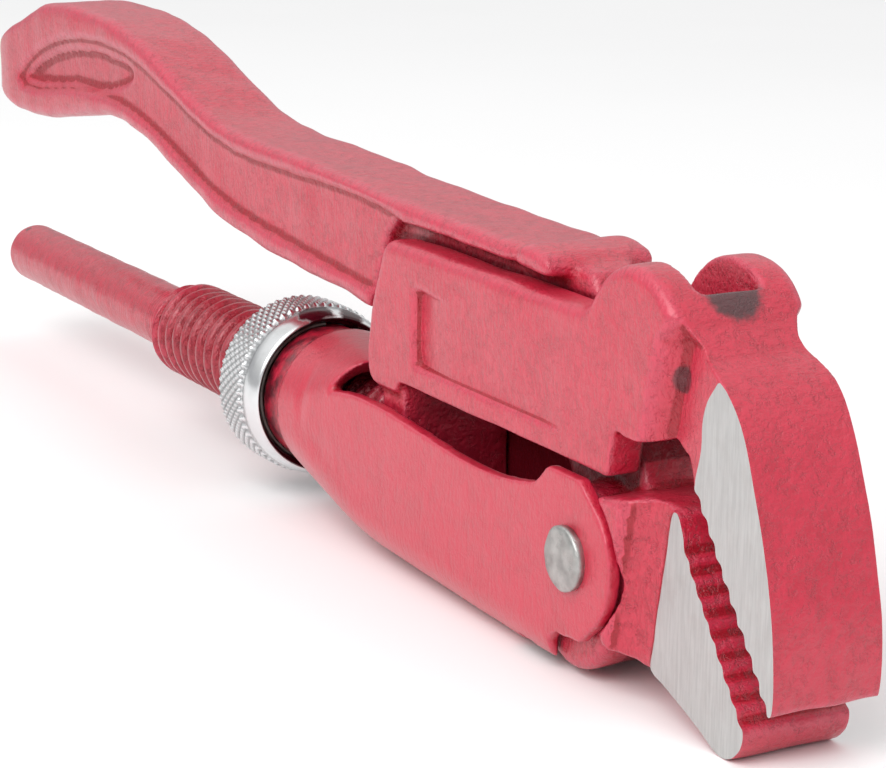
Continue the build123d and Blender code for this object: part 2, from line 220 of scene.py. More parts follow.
def new_group(name, inputs, outputs):
    """Empty shader group with named inputs and outputs; returns its tree and both ends."""
    tree = bpy.data.node_groups.new(name, "ShaderNodeTree")
    for label, kind, default in inputs:
        socket = tree.interface.new_socket(label, in_out="INPUT", socket_type=kind)
        if default is not None:
            socket.default_value = default
    for label, kind in outputs:
        tree.interface.new_socket(label, in_out="OUTPUT", socket_type=kind)
    return tree, tree.nodes.new("NodeGroupInput"), tree.nodes.new("NodeGroupOutput")


def forged_skin_group():
    """Scale pits, orange peel and drag marks of a painted forging."""
    tree, given, made = new_group(
        "Forged skin",
        [("Vector", "NodeSocketVector", None), ("Peel", "NodeSocketFloat", 1.0),
         ("Pits", "NodeSocketFloat", 1.0), ("Drag", "NodeSocketFloat", 0.0)],
        [("Height", "NodeSocketFloat"), ("Mottle", "NodeSocketFloat")])
    vector = given.outputs["Vector"]
    peel = noise(tree, vector, 1150.0, 2.0)
    lumps = noise(tree, vector, 360.0, 3.0)
    pits = eased(tree, noise(tree, vector, 620.0, 4.0, 0.7), 0.34, 0.47)
    drawn_out = put(tree, "ShaderNodeVectorMath", {0: vector, 1: (1.0, 0.30, 0.30)},
                    operation="MULTIPLY").outputs["Vector"]
    drag = eased(tree, noise(tree, drawn_out, 1500.0, 3.0, 0.6), 0.36, 0.60)
    height = reckon(tree, "MULTIPLY", peel, given.outputs["Peel"])
    height = reckon(tree, "ADD", height, reckon(tree, "MULTIPLY", lumps, 1.6))
    height = reckon(tree, "ADD", height, reckon(tree, "MULTIPLY", pits, given.outputs["Pits"]))
    height = reckon(tree, "ADD", height, reckon(tree, "MULTIPLY", drag, given.outputs["Drag"]))
    mottle = reckon(tree, "ADD", reckon(tree, "MULTIPLY", lumps, 0.5),
                    reckon(tree, "MULTIPLY", noise(tree, vector, 95.0, 4.0), 0.5))
    mottle = reckon(tree, "ADD", mottle, reckon(
        tree, "MULTIPLY", reckon(tree, "SUBTRACT", drag, 0.8),
        reckon(tree, "MULTIPLY", given.outputs["Drag"], 0.30)))
    tree.links.new(height, made.inputs["Height"])
    tree.links.new(mottle, made.inputs["Mottle"])
    return tree


def edge_wear_and_corner_shade_group():
    """Ragged wear mask along outer edges, and a plain mask in inner corners for painted shade, from the edge
    value.
    """
    tree, given, made = new_group(
        "Edge wear and corner shade",
        [("Vector", "NodeSocketVector", None), ("Edge", "NodeSocketFloat", 0.0),
         ("Reach", "NodeSocketFloat", 0.5)],
        [("Worn", "NodeSocketFloat"), ("Thin", "NodeSocketFloat"), ("Corner", "NodeSocketFloat")])
    broken = noise(tree, given.outputs["Vector"], 520.0, 5.0, 0.65)
    raised = reckon(tree, "MULTIPLY", given.outputs["Edge"], reckon(tree, "ADD", broken, 0.5))
    outer = reckon(tree, "SUBTRACT", 1.35, given.outputs["Reach"])
    worn = eased(tree, reckon(tree, "SUBTRACT", raised, outer), 0.0, 0.25)
    thin = eased(tree, raised, 0.15, 0.8)
    # Painted shade: concave places get a mask that darkens the paint in inner corners
    corner = eased(tree, reckon(tree, "MULTIPLY", given.outputs["Edge"], -1.0), 0.12, 0.75)
    tree.links.new(worn, made.inputs["Worn"])
    tree.links.new(thin, made.inputs["Thin"])
    tree.links.new(corner, made.inputs["Corner"])
    return tree


def patch_group():
    """Ragged round patch about a centre: 1 inside, 0 outside."""
    tree, given, made = new_group(
        "Ragged patch",
        [("Vector", "NodeSocketVector", None), ("Centre", "NodeSocketVector", None),
         ("Radius", "NodeSocketFloat", 0.005), ("Ragged", "NodeSocketFloat", 0.6)],
        [("Mask", "NodeSocketFloat")])
    away = put(tree, "ShaderNodeVectorMath",
               {0: given.outputs["Vector"], 1: given.outputs["Centre"]},
               operation="DISTANCE").outputs["Value"]
    share = reckon(tree, "DIVIDE", away, given.outputs["Radius"])
    ragged = reckon(tree, "SUBTRACT", noise(tree, given.outputs["Vector"], 480.0, 4.0), 0.5)
    share = reckon(tree, "ADD", share, reckon(tree, "MULTIPLY", ragged, given.outputs["Ragged"]))
    tree.links.new(eased(tree, share, 1.0, 0.72), made.inputs["Mask"])
    return tree


def grain_group():
    """Fine parallel scratches, long along one way, with a few cloudy stains."""
    tree, given, made = new_group(
        "Scratch grain",
        [("Vector", "NodeSocketVector", None), ("Stretch", "NodeSocketVector", None),
         ("Scale", "NodeSocketFloat", 2500.0)],
        [("Height", "NodeSocketFloat"), ("Stain", "NodeSocketFloat")])
    drawn_out = put(tree, "ShaderNodeVectorMath",
                    {0: given.outputs["Vector"], 1: given.outputs["Stretch"]},
                    operation="MULTIPLY").outputs["Vector"]
    scratch = noise(tree, drawn_out, given.outputs["Scale"], 4.0, 0.7)
    stain = noise(tree, given.outputs["Vector"], 240.0, 5.0, 0.6)
    tree.links.new(scratch, made.inputs["Height"])
    tree.links.new(eased(tree, stain, 0.45, 0.75), made.inputs["Stain"])
    return tree


GROUP_MAKERS = {
    "Forged skin": forged_skin_group,
    "Edge wear and corner shade": edge_wear_and_corner_shade_group,
    "Ragged patch": patch_group,
    "Scratch grain": grain_group,
}


def grouped(tree, name, inputs):
    """Places a shared group, building it the first time."""
    shared = bpy.data.node_groups.get(name) or GROUP_MAKERS[name]()
    return put(tree, "ShaderNodeGroup", inputs, node_tree=shared)


# ---------------------------------------------------------------- materials
# Painted shade: near-black red for faces that lie inside the forgings and the sleeve
INSIDE_SHADE = (0.17, 0.002, 0.010, 1.0)   # gathered where no light reaches
# Painted shade and reflection: near-black red for the collar's band in the nut, shaded there and mirroring the
# nut's dark bore
COLLAR_SHADE = (0.05, 0.001, 0.006, 1.0)
COAT = 0.62                  # gloss of the paint in the open
COAT_LOST = 0.5              # how much of it inner corners lose


def started(name):
    """New node material: its tree, its shader and the object coordinates."""
    material = bpy.data.materials.new(name)
    material.use_nodes = True
    tree = material.node_tree
    shader = tree.nodes["Principled BSDF"]
    vector = put(tree, "ShaderNodeTexCoord").outputs["Object"]
    return material, tree, shader, vector


def opaque(colour):
    """Colour setting with full alpha."""
    return (*colour, 1.0)


def bumped(tree, shader, height, strength, distance):
    """Feeds height to the shader's normal."""
    bump = put(tree, "ShaderNodeBump", {"Height": height, "Strength": strength,
                                        "Distance": distance})
    tree.links.new(bump.outputs["Normal"], shader.inputs["Normal"])


def red_paint(name, peel=1.0, pits=0.6, drag=0.5, strength=0.7, reach=0.3, patches=()):
    """Semi-gloss red paint; patches are (centre, radius, colour, share) places of another tint."""
    material, tree, shader, vector = started(name)
    skin = grouped(tree, "Forged skin", {"Vector": vector, "Peel": peel, "Pits": pits,
                                         "Drag": drag})
    edge = put(tree, "ShaderNodeAttribute", attribute_name="edge").outputs["Fac"]
    wear_and_shade = grouped(tree, "Edge wear and corner shade", {"Vector": vector, "Edge": edge, "Reach": reach})
    mottle = skin.outputs["Mottle"]
    thick = eased(tree, mottle, 0.56, 0.30)
    colour = colour_mix(tree, reckon(tree, "MULTIPLY", thick, 0.24),
                        opaque(finish().paint), opaque(finish().deep_paint_and_corner_shade))
    # Painted shade: inner corners darkened towards the deep paint colour
    colour = colour_mix(tree, reckon(tree, "MULTIPLY", wear_and_shade.outputs["Corner"], 0.85),
                        colour, opaque(finish().deep_paint_and_corner_shade))
    colour = colour_mix(tree, reckon(tree, "MULTIPLY", wear_and_shade.outputs["Thin"], 0.5),
                        colour, opaque(finish().paint_thin))
    # Painted shade: faces marked inside are darkened towards a near-black red
    inside = put(tree, "ShaderNodeAttribute", attribute_name="inside").outputs["Fac"]
    colour = colour_mix(tree, reckon(tree, "MULTIPLY", inside, 0.8), colour, INSIDE_SHADE)
    for centre, radius, tint, share in patches:
        patch = grouped(tree, "Ragged patch", {"Vector": vector, "Centre": centre,
                                               "Radius": radius})
        colour = colour_mix(tree, reckon(tree, "MULTIPLY", patch.outputs["Mask"], share),
                            colour, tint)
    tree.links.new(colour, shader.inputs["Base Color"])
    rough = reckon(tree, "ADD", reckon(tree, "MULTIPLY", mottle, 0.22), 0.30)
    tree.links.new(rough, shader.inputs["Roughness"])
    shader.inputs["IOR"].default_value = 1.52
    sheltered = reckon(tree, "MAXIMUM", wear_and_shade.outputs["Corner"], inside)
    coat = reckon(tree, "SUBTRACT", COAT, reckon(tree, "MULTIPLY", sheltered, COAT_LOST))
    tree.links.new(coat, shader.inputs["Coat Weight"])
    shader.inputs["Coat Roughness"].default_value = 0.28
    bumped(tree, shader, skin.outputs["Height"], strength, 0.00035)
    return material


def ground_steel():
    """Sides of the jaws, ground bright after painting."""
    material, tree, shader, vector = started("Ground steel")
    grain = grouped(tree, "Scratch grain", {"Vector": vector, "Stretch": (1.0, 1.0, 0.06)})
    tone = eased(tree, grain.outputs["Height"], 0.3, 0.7)
    darker = tuple(0.80 * part for part in finish().ground)
    colour = colour_mix(tree, tone, opaque(darker), opaque(finish().ground))
    stain = reckon(tree, "MULTIPLY", grain.outputs["Stain"], 0.22)
    colour = colour_mix(tree, stain, colour, (0.42, 0.38, 0.36, 1.0))
    tree.links.new(colour, shader.inputs["Base Color"])
    shader.inputs["Metallic"].default_value = 1.0
    tree.links.new(reckon(tree, "ADD", reckon(tree, "MULTIPLY", tone, 0.12), 0.42),
                   shader.inputs["Roughness"])
    bumped(tree, shader, grain.outputs["Height"], 0.25, 0.00005)
    return material


def zinc_plate(patches=()):
    """Bright zinc plate, darkened in the knurl's grooves as painted shade; patches are drops of paint."""
    material, tree, shader, vector = started("Zinc plate")
    grain = grouped(tree, "Scratch grain", {"Vector": vector, "Stretch": (1.0, 0.15, 0.15)})
    groove = put(tree, "ShaderNodeAttribute", attribute_name="groove").outputs["Fac"]
    groove_shade = tuple(0.30 * part for part in finish().zinc)
    # Painted shade: the knurl's grooves are darkened to under a third of the zinc's colour
    colour = colour_mix(tree, reckon(tree, "MULTIPLY", groove, 0.8),
                        opaque(finish().zinc), opaque(groove_shade))
    stain = reckon(tree, "MULTIPLY", grain.outputs["Stain"], 0.30)
    colour = colour_mix(tree, stain, colour, (0.52, 0.52, 0.50, 1.0))
    painted = put(tree, "ShaderNodeAttribute", attribute_name="painted").outputs["Fac"]
    for centre, radius in patches:
        patch = grouped(tree, "Ragged patch", {"Vector": vector, "Centre": centre,
                                               "Radius": radius, "Ragged": 0.9})
        painted = reckon(tree, "MAXIMUM", painted, patch.outputs["Mask"])
    colour = colour_mix(tree, painted, colour, (0.045, 0.001, 0.006, 1.0))
    tree.links.new(colour, shader.inputs["Base Color"])
    tree.links.new(reckon(tree, "SUBTRACT", 1.0, painted), shader.inputs["Metallic"])
    tree.links.new(reckon(tree, "ADD", reckon(tree, "MULTIPLY", groove, 0.3), 0.24),
                   shader.inputs["Roughness"])
    bumped(tree, shader, grain.outputs["Height"], 0.2, 0.00004)
    return material


def plain_metal(name, tint, rough):
    """Plain steel with a cloudy, slightly pitted surface."""
    material, tree, shader, vector = started(name)
    skin = grouped(tree, "Forged skin", {"Vector": vector, "Peel": 0.6, "Pits": 1.2})
    mottle = eased(tree, skin.outputs["Mottle"], 0.35, 0.65)
    darker = tuple(0.5 * part for part in tint)
    tree.links.new(colour_mix(tree, mottle, opaque(darker), opaque(tint)),
                   shader.inputs["Base Color"])
    shader.inputs["Metallic"].default_value = 1.0
    tree.links.new(reckon(tree, "ADD", reckon(tree, "MULTIPLY", mottle, 0.15), rough),
                   shader.inputs["Roughness"])
    bumped(tree, shader, skin.outputs["Height"], 0.35, 0.0001)
    return material


# ---------------------------------------------------------------- meshes
def linked(name, mesh):
    """New object of that mesh in the scene."""
    piece = bpy.data.objects.new(name, mesh)
    bpy.context.scene.collection.objects.link(piece)
    return piece


def read_points(mesh):
    """The mesh's points as rows of x, y, z."""
    points = np.empty(len(mesh.vertices) * 3, np.float32)
    mesh.vertices.foreach_get("co", points)
    return points.reshape(-1, 3).astype(float)


def write_points(mesh, points):
    """Moves the mesh's points."""
    mesh.vertices.foreach_set("co", points.astype(np.float32).ravel())
    mesh.update()


def read_normals(mesh):
    """The mesh's point normals as rows."""
    normals = np.empty(len(mesh.vertices) * 3, np.float32)
    mesh.vertices.foreach_get("normal", normals)
    return normals.reshape(-1, 3).astype(float)


def store(mesh, name, values):
    """Keeps one value for each point under that name."""
    layer = mesh.attributes.new(name, "FLOAT", "POINT")
    layer.data.foreach_set("value", np.asarray(values, np.float32))


def even_net(node, width, prepare=None):
    """Mesh of the node's surface as an even net; prepare may first change the welded points."""
    net = bmesh.new()
    net.from_mesh(frame["nodes"][node].data)
    bmesh.ops.remove_doubles(net, verts=net.verts, dist=WELD)
    if prepare:
        prepare(net)
    mesh = bpy.data.meshes.new(node + "_welded")
    net.to_mesh(mesh)
    net.free()
    solid = linked(node + "_welded", mesh)
    remesh = solid.modifiers.new("Even net", "REMESH")
    remesh.mode = "VOXEL"
    remesh.voxel_size = width * 1.0
    depsgraph = bpy.context.evaluated_depsgraph_get()
    made = bpy.data.meshes.new_from_object(solid.evaluated_get(depsgraph))
    bpy.data.objects.remove(solid)
    bpy.data.meshes.remove(mesh)
    made.materials.clear()
    return made


def relaxed(mesh, points, turns, share=0.5):
    """Points drawn turns times towards the middle of their neighbours."""
    edges = np.empty(len(mesh.edges) * 2, np.int32)
    mesh.edges.foreach_get("vertices", edges)
    first, second = edges.reshape(-1, 2).T
    count = len(points)
    neighbours = np.maximum(np.bincount(edges, minlength=count), 1)[:, None]
    share = np.broadcast_to(share, (count,))[:, None]
    for _ in range(turns):
        middle = np.column_stack([
            np.bincount(first, points[second, axis], count)
            + np.bincount(second, points[first, axis], count) for axis in range(3)])
        points = points + share * (middle / neighbours - points)
    return points


def swells(points, seed, height, length):
    """Slow random swells, height tall and about length from crest to crest."""
    random = np.random.default_rng(seed)
    total = np.zeros(len(points))
    for _ in range(14):
        way = random.normal(size=3)
        way *= 2 * math.pi / (np.linalg.norm(way) * length * random.uniform(0.6, 1.7))
        total += np.sin(points @ way + random.uniform(0, 2 * math.pi))
    return height * total / math.sqrt(14)


def settle_skin(mesh, turns, seed, swell, share=0.5, length=11 * MM):
    """Rounds a net's edges as forging does, swells its skin and keeps its edge value."""
    turns = turns
    before = read_points(mesh)
    normals = read_normals(mesh)
    flatter = relaxed(mesh, before, max(2, turns))
    store(mesh, "edge", np.einsum("ij,ij->i", before - flatter, normals) / (0.12 * MM))
    points = relaxed(mesh, before, turns, share)
    points += normals * swells(points, seed, swell, length)[:, None]
    write_points(mesh, points)


def sides(points):
    """u and v from the pivot and the distance from the middle plane, in millimetres."""
    return ((points[:, 0] - PIVOT.x) / MM, (points[:, 2] - PIVOT.z) / MM,
            np.abs(points[:, 1]) / MM)


def limit_width(mesh, limit):
    """Draws points in to the half width that limit(u, v) gives, in millimetres."""
    points = read_points(mesh)
    u, v, half = sides(points)
    points[:, 1] = np.sign(points[:, 1]) * np.minimum(half, limit(u, v)) * MM
    write_points(mesh, points)


def rough_jaw(net):
    """Sets the sides of the jaws out to their size before grinding."""
    for vert in net.verts:
        side = abs(vert.co.y)
        if abs(side - sizes().ground_half) < 0.02 * MM and vert.co.x > PIVOT.x + 12 * MM:
            vert.co.y = math.copysign(sizes().ground_half + sizes().grinding, vert.co.y)


def grind(mesh, behind):
    """Cuts both sides flat at the ground half width, in front of the line behind(v)."""
    half = sizes().ground_half
    net = bmesh.new()
    net.from_mesh(mesh)
    for side in (-1, 1):
        faces = []
        for face in net.faces:
            centre = face.calc_center_median()
            if side * centre.y > half - 1.5 * MM:
                if (centre.x - PIVOT.x) / MM > behind((centre.z - PIVOT.z) / MM):
                    faces.append(face)
        touched = faces + list({e for f in faces for e in f.edges})
        touched += list({v for f in faces for v in f.verts})
        cut = bmesh.ops.bisect_plane(net, geom=touched, plane_co=(0, side * half, 0),
                                     plane_no=(0, side, 0), clear_outer=True)
        rim = [e for e in cut["geom_cut"] if isinstance(e, bmesh.types.BMEdge)]
        filled = bmesh.ops.holes_fill(net, edges=rim, sides=0)
        for face in filled["faces"]:
            face.material_index = 1
        for edge in rim:
            edge.smooth = False
    net.to_mesh(mesh)
    net.free()


def finished(name, mesh, materials, body, nodes):
    """Smooth object of the mesh that rides on body and stands for the nodes."""
    for material in materials:
        mesh.materials.append(material)
    mesh.polygons.foreach_set("use_smooth", [True] * len(mesh.polygons))
    piece = linked(name, mesh)
    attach(piece, body)
    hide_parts(*nodes)
    return piece


def turned(name, along, radius, closed=False):
    """Mesh of rings round the X axis: row by row, places along and radii at each angle.

    Closed joins the last ring to the first; otherwise both ends are capped.
    """
    rings, around = radius.shape
    angle = np.linspace(0, 2 * math.pi, around, endpoint=False)
    points = np.stack([along, radius * np.cos(angle), radius * np.sin(angle)], axis=-1)
    points = points.reshape(-1, 3)
    rows = np.arange(rings if closed else rings - 1)[:, None] * around
    here = np.arange(around)[None, :]
    there = (here + 1) % around
    above = (rows + around) % (rings * around)
    faces = np.stack([rows + here, rows + there, above + there, above + here], axis=-1)
    faces = faces.reshape(-1, 4).tolist()
    points = points.tolist()
    if not closed:
        for row, turn in ((0, -1), (rings - 1, 1)):
            points.append([float(along[row].mean()), 0.0, 0.0])
            ring = [row * around + k for k in range(around)]
            for k in range(around):
                pair = (ring[k], ring[(k + 1) % around])
                faces.append([*pair[::turn], len(points) - 1])
    mesh = bpy.data.meshes.new(name)
    mesh.from_pydata(points, [], faces)
    mesh.update()
    return mesh


# ---------------------------------------------------------------- hook leg
STUB_REAR = -66.0            # where the forging's own stub of thread is cut off
CRISP = 0.16                 # share of the rounding that the teeth take
ROUNDED = 0.5                # share that the rest of a forging takes
HOOK_REAR = -61.6            # millimetres from the pivot: the riser's rear face, rounded
LOBE_FRONT = ((15.6, 14.0), (18.0, 21.8), (21.0, 33.0), (22.6, 39.0))
HOOK_GROUND = ((24.6, 14.0), (25.5, 18.0), (26.5, 24.0), (28.0, 28.0), (30.5, 31.5), (40.0, 36.0))


def line_at(line, v):
    """u of a line of (u, v) points, lowest first, at height v."""
    us, vs = zip(*line)
    return np.interp(v, vs, us)


def hook_width(u, v):
    """Half width of the hook: lobe, valley in front of it, and the rough side of the jaw."""
    valley = line_at(LOBE_FRONT, v)
    ahead = u - valley
    low, high = sizes().valley_half / MM, sizes().lobe_half / MM
    behind = np.clip(-ahead / 3.6, 0, 1)
    lobe = low + (high - low) * np.sin(behind * math.pi / 2)
    reach = line_at(HOOK_GROUND, v) - valley
    share = np.clip(ahead / reach, 0, 2)
    jaw = low + (sizes().ground_half / MM + 0.05 - low) * share ** 0.7
    fade = np.clip((v - 34.0) / 5.0, 0, 1) * 4.0
    return np.where(ahead < 0, lobe, jaw) + fade


PANEL_REAR, PANEL_FRONT = -48.7, -4.9
PANEL_BOTTOM, PANEL_TOP = 16.7, 28.2


def panel_width(u, v):
    """Half width over each cheek's panel: deep along its rear, running out to the front and top."""
    ahead = np.clip((u - PANEL_REAR - 2.0) / 9.0, 0, 1)
    up = np.clip((v - PANEL_BOTTOM) / (PANEL_TOP - PANEL_BOTTOM), 0, 1)
    depth = (1.35 - 0.65 * ahead) * (1 - up * ahead) * np.clip((PANEL_FRONT - u) / 6.0, 0, 1)
    return sizes().lobe_half / MM - depth


def shape_hook(mesh):
    """Valley beside the lobe, and the thread's stub drawn in so that the cut rod covers it."""
    limit_width(mesh, hook_width)
    points = read_points(mesh)
    u, v, half = sides(points)
    panel = ((u > PANEL_REAR) & (u < PANEL_FRONT) & (v > PANEL_BOTTOM) & (v < PANEL_TOP)
             & (half > 8.5))
    points[panel, 1] = np.sign(points[panel, 1]) * panel_width(u[panel], v[panel]) * MM
    stub = np.clip((HOOK_REAR - u) / 0.8, 0, 1) * (v < 11.0)
    points[:, 1:] *= (1 - 0.32 * stub)[:, None]
    write_points(mesh, points)


def rear_cut(mesh, u):
    """Takes away everything behind u and closes the cut."""
    net = bmesh.new()
    net.from_mesh(mesh)
    everything = net.verts[:] + net.edges[:] + net.faces[:]
    cut = bmesh.ops.bisect_plane(net, geom=everything, plane_co=(PIVOT.x + u * MM, 0, 0),
                                 plane_no=(-1, 0, 0), clear_outer=True)
    rim = [e for e in cut["geom_cut"] if isinstance(e, bmesh.types.BMEdge)]
    bmesh.ops.holes_fill(net, edges=rim, sides=0)
    net.to_mesh(mesh)
    net.free()


class WRENCH_OT_hook_forging(bpy.types.Operator):
    """Forged hook jaw with its cheeks and riser"""
    bl_idname = "wrench.hook_forging"
    bl_label = "Hook forging"

    def execute(self, context):
        mesh = even_net("hook_leg", sizes().forging_net, rough_jaw)
        rear_cut(mesh, STUB_REAR)
        shape_hook(mesh)
        u, v, half = sides(read_points(mesh))
        # Faces inside the slot, later darkened as painted shade
        store(mesh, "inside", (half < 5.3) & (u < 15.0) & (v < 32.0) & (v > 10.0))
        teeth = (v < 16.0) & (u > 22.0)
        settle_skin(mesh, 9, 3, sizes().swell, np.where(teeth, CRISP, ROUNDED))
        grind(mesh, lambda v: line_at(LOBE_FRONT, v) + 4.0)
        smear = (PIVOT.x + 20.5 * MM, 0.0, PIVOT.z + 40.5 * MM)
        # Painted shade: near-black patch for the shade in the deep crease in front of the near cheek
        crease_shade = (PIVOT.x + 20.0 * MM, -6.5 * MM, PIVOT.z + 29.0 * MM)
        paint = red_paint("Red paint on the hook", drag=0.5, patches=(
            (smear, 5.2 * MM, (0.03, 0.012, 0.014, 1.0), 0.9),
            (crease_shade, 2.4 * MM, (0.05, 0.002, 0.006, 1.0), 0.8)))
        finished("hook_forging", mesh, [paint, ground_steel()], "hook", ["hook_leg"])
        return {"FINISHED"}


# ---------------------------------------------------------------- rod and thread
ROD_RADIUS = 6.0
ROD_END_ROUND = 2.2
THREAD_RADIUS = 9.0
THREAD_START = -161.0
GROOVES_START = -169.0
ROD_FRONT = -60.0


def rod_radius(u, turn):
    """Radius of the rod at u and at each share of a turn, in millimetres."""
    end = np.clip((u + PIVOT.x / MM) / ROD_END_ROUND, 0, 1)
    plain = ROD_RADIUS - ROD_END_ROUND + ROD_END_ROUND * np.sqrt(1 - (1 - end) ** 2)
    grooves = 0.10 * (0.5 + 0.5 * np.cos(2 * math.pi * u / 0.9)) * (u > GROOVES_START)
    phase = (u / (PITCH / MM) - turn) % 1.0
    flank = np.clip((np.abs(2 * phase - 1) - 0.22) / 0.56, 0, 1)
    cut = flank * flank * (3 - 2 * flank) * sizes().thread_depth / MM
    cone = ROD_RADIUS + np.maximum(u - THREAD_START, 0) * 1.1
    return np.where(u < THREAD_START, plain - grooves, np.minimum(cone, THREAD_RADIUS - cut))


class WRENCH_OT_threaded_rod(bpy.types.Operator):
    """Plain rod and cut thread of the hook leg"""
    bl_idname = "wrench.threaded_rod"
    bl_label = "Threaded rod"

    def execute(self, context):
        rear = -PIVOT.x / MM
        step = 0.3 * 1.0
        rounded = rear + ROD_END_ROUND * (1 - np.cos(np.linspace(0, math.pi / 2, 9)))
        plain = np.arange(rear + 2.8, GROOVES_START, 0.8)
        fine = np.arange(GROOVES_START, ROD_FRONT, step)
        u = np.concatenate([rounded, plain, fine])
        turn = np.arange(96) / 96
        radius = rod_radius(u[:, None], turn[None, :]) * MM
        along = np.broadcast_to((PIVOT.x + u * MM)[:, None], radius.shape)
        mesh = turned("threaded_rod", along, radius)
        points = read_points(mesh)
        normals = read_normals(mesh)
        points += normals * swells(points, 11, 0.05 * MM, 6 * MM)[:, None]
        flatter = relaxed(mesh, points, 3)
        store(mesh, "edge", np.einsum("ij,ij->i", points - flatter, normals) / (0.06 * MM))
        write_points(mesh, points)
        pit = (3.6 * MM, -2.0 * MM, 4.6 * MM)
        thread = (PIVOT.x - 112 * MM, 0.0, 0.0)
        paint = red_paint("Red paint on the rod", peel=0.8, pits=1.3, drag=0.9, reach=0.35,
                          patches=((thread, 52 * MM, (0.33, 0.004, 0.018, 1.0), 0.8),
                                   (pit, 1.3 * MM, (0.06, 0.002, 0.006, 1.0), 0.9)))
        finished("threaded_rod", mesh, [paint], "hook", ["hook_leg"])
        return {"FINISHED"}


# ---------------------------------------------------------------- long lever
COVE_LINE = ((15.1, -11.7), (15.5, -9.7), (19.1, 7.7), (19.7, 11.0))
HANDLE_ROUND = -237.0        # where the plan of the handle's end starts to round


def lever_width(u, v):
    """Half width of the lever: the handle's end is rounded in plan, the jaw's cove is clean."""
    end = np.clip((HANDLE_ROUND - u) / 16.0, 0, 1)
    ahead = u - line_at(COVE_LINE, v)
    cove = 7.85 + (ahead + 0.6) ** 2 / 14.0
    jaw = np.where(ahead > 0.15, 8.0 + 3.0 * (ahead - 0.15), cove)
    limit = np.where((ahead > -6.5) & (u > 5.0), jaw, 99.0)
    return np.where(u < HANDLE_ROUND, 8.2 * np.sqrt(1 - 0.75 * end ** 2), limit)


class WRENCH_OT_long_lever(bpy.types.Operator):
    """Forged lever with its handle, ears, knuckle and lower jaw"""
    bl_idname = "wrench.long_lever"
    bl_label = "Long lever"

    def execute(self, context):
        mesh = even_net("lever_leg", sizes().lever_net, rough_jaw)
        limit_width(mesh, lever_width)
        points = read_points(mesh)
        u, v, half = sides(points)
        # Faces of the web between the cheeks, later darkened as painted shade
        store(mesh, "inside", (half < 4.7) & (u > -66.0) & (u < 6.0) & (v < 34.5))
        ears = (u > -25.0) & (u < -9.0) & (v > 34.0)
        write_points(mesh, relaxed(mesh, points, 18, 0.5 * ears))
        teeth = (u > 20.0) & (v > -16.0)
        settle_skin(mesh, 8, 5, sizes().swell, np.where(teeth, CRISP, ROUNDED))
        grind(mesh, lambda v: line_at(COVE_LINE, v) - 0.5)
        paint = red_paint("Red paint on the lever", pits=0.9, drag=0.6, strength=0.7)
        finished("long_lever", mesh, [paint, ground_steel()], "lever", ["lever_leg"])
        return {"FINISHED"}


# ---------------------------------------------------------------- sleeve
class WRENCH_OT_sleeve_shell(bpy.types.Operator):
    """Pressed sleeve that holds the nut and the lever's rivet"""
    bl_idname = "wrench.sleeve_shell"
    bl_label = "Sleeve"

    def execute(self, context):
        mesh = even_net("sleeve", sizes().sleeve_net)
        points = read_points(mesh)
        normals = read_normals(mesh)
        radial = points * (0, 1, 1)
        radial /= np.maximum(np.linalg.norm(radial, axis=1), WELD)[:, None]
        u, v, half = sides(points)
        inward = np.einsum("ij,ij->i", normals, radial)
        # Faces of the sleeve's inner wall, later darkened as painted shade
        store(mesh, "inside", (inward < -0.2) & (u > -93.0))
        for place, long, tall in (((-85.0, 4.5), 1.6, 5.0), ((-79.0, -3.0), 5.0, 2.2)):
            press = np.exp(-((u - place[0]) / long) ** 2 - ((v - place[1]) / tall) ** 2)
            points -= radial * (0.42 * MM * press * (half > 6.0))[:, None]
        write_points(mesh, points)
        settle_skin(mesh, 3, 8, 0.07 * MM, 0.5, 16 * MM)
        # Painted shade and reflection: the collar's band inside the nut is darkened nearly to black
        collar = (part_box("sleeve")[0].x + 4 * MM, 0.0, 0.0)
        paint = red_paint("Red paint on the sleeve", peel=0.9, pits=0.3, drag=0.35, strength=0.5,
                          patches=((collar, 14 * MM, COLLAR_SHADE, 0.95),))
        finished("sleeve_shell", mesh, [paint], "sleeve_body", ["sleeve"])
        return {"FINISHED"}


# ---------------------------------------------------------------- nut
COLLAR_BORE = 11.95          # millimetres: the nut's wide bore over the sleeve's collar
THREAD_BORE = 9.1
KNURL_LENGTH = 9.0
BORE_STEP = 9.4              # from the nut's rear face to the step in its bore


def knurl(u, turn):
    """Height of the diamond knurl, 0 in the grooves and 1 on the points."""
    starts = sizes().knurl_starts
    lead = 2.05 * starts
    one = (starts * turn + u / lead * starts) % 1.0
    other = (starts * turn - u / lead * starts) % 1.0
    ridge = np.minimum(1 - np.abs(2 * one - 1), 1 - np.abs(2 * other - 1))
    return np.clip(ridge * 1.7, 0, 1)


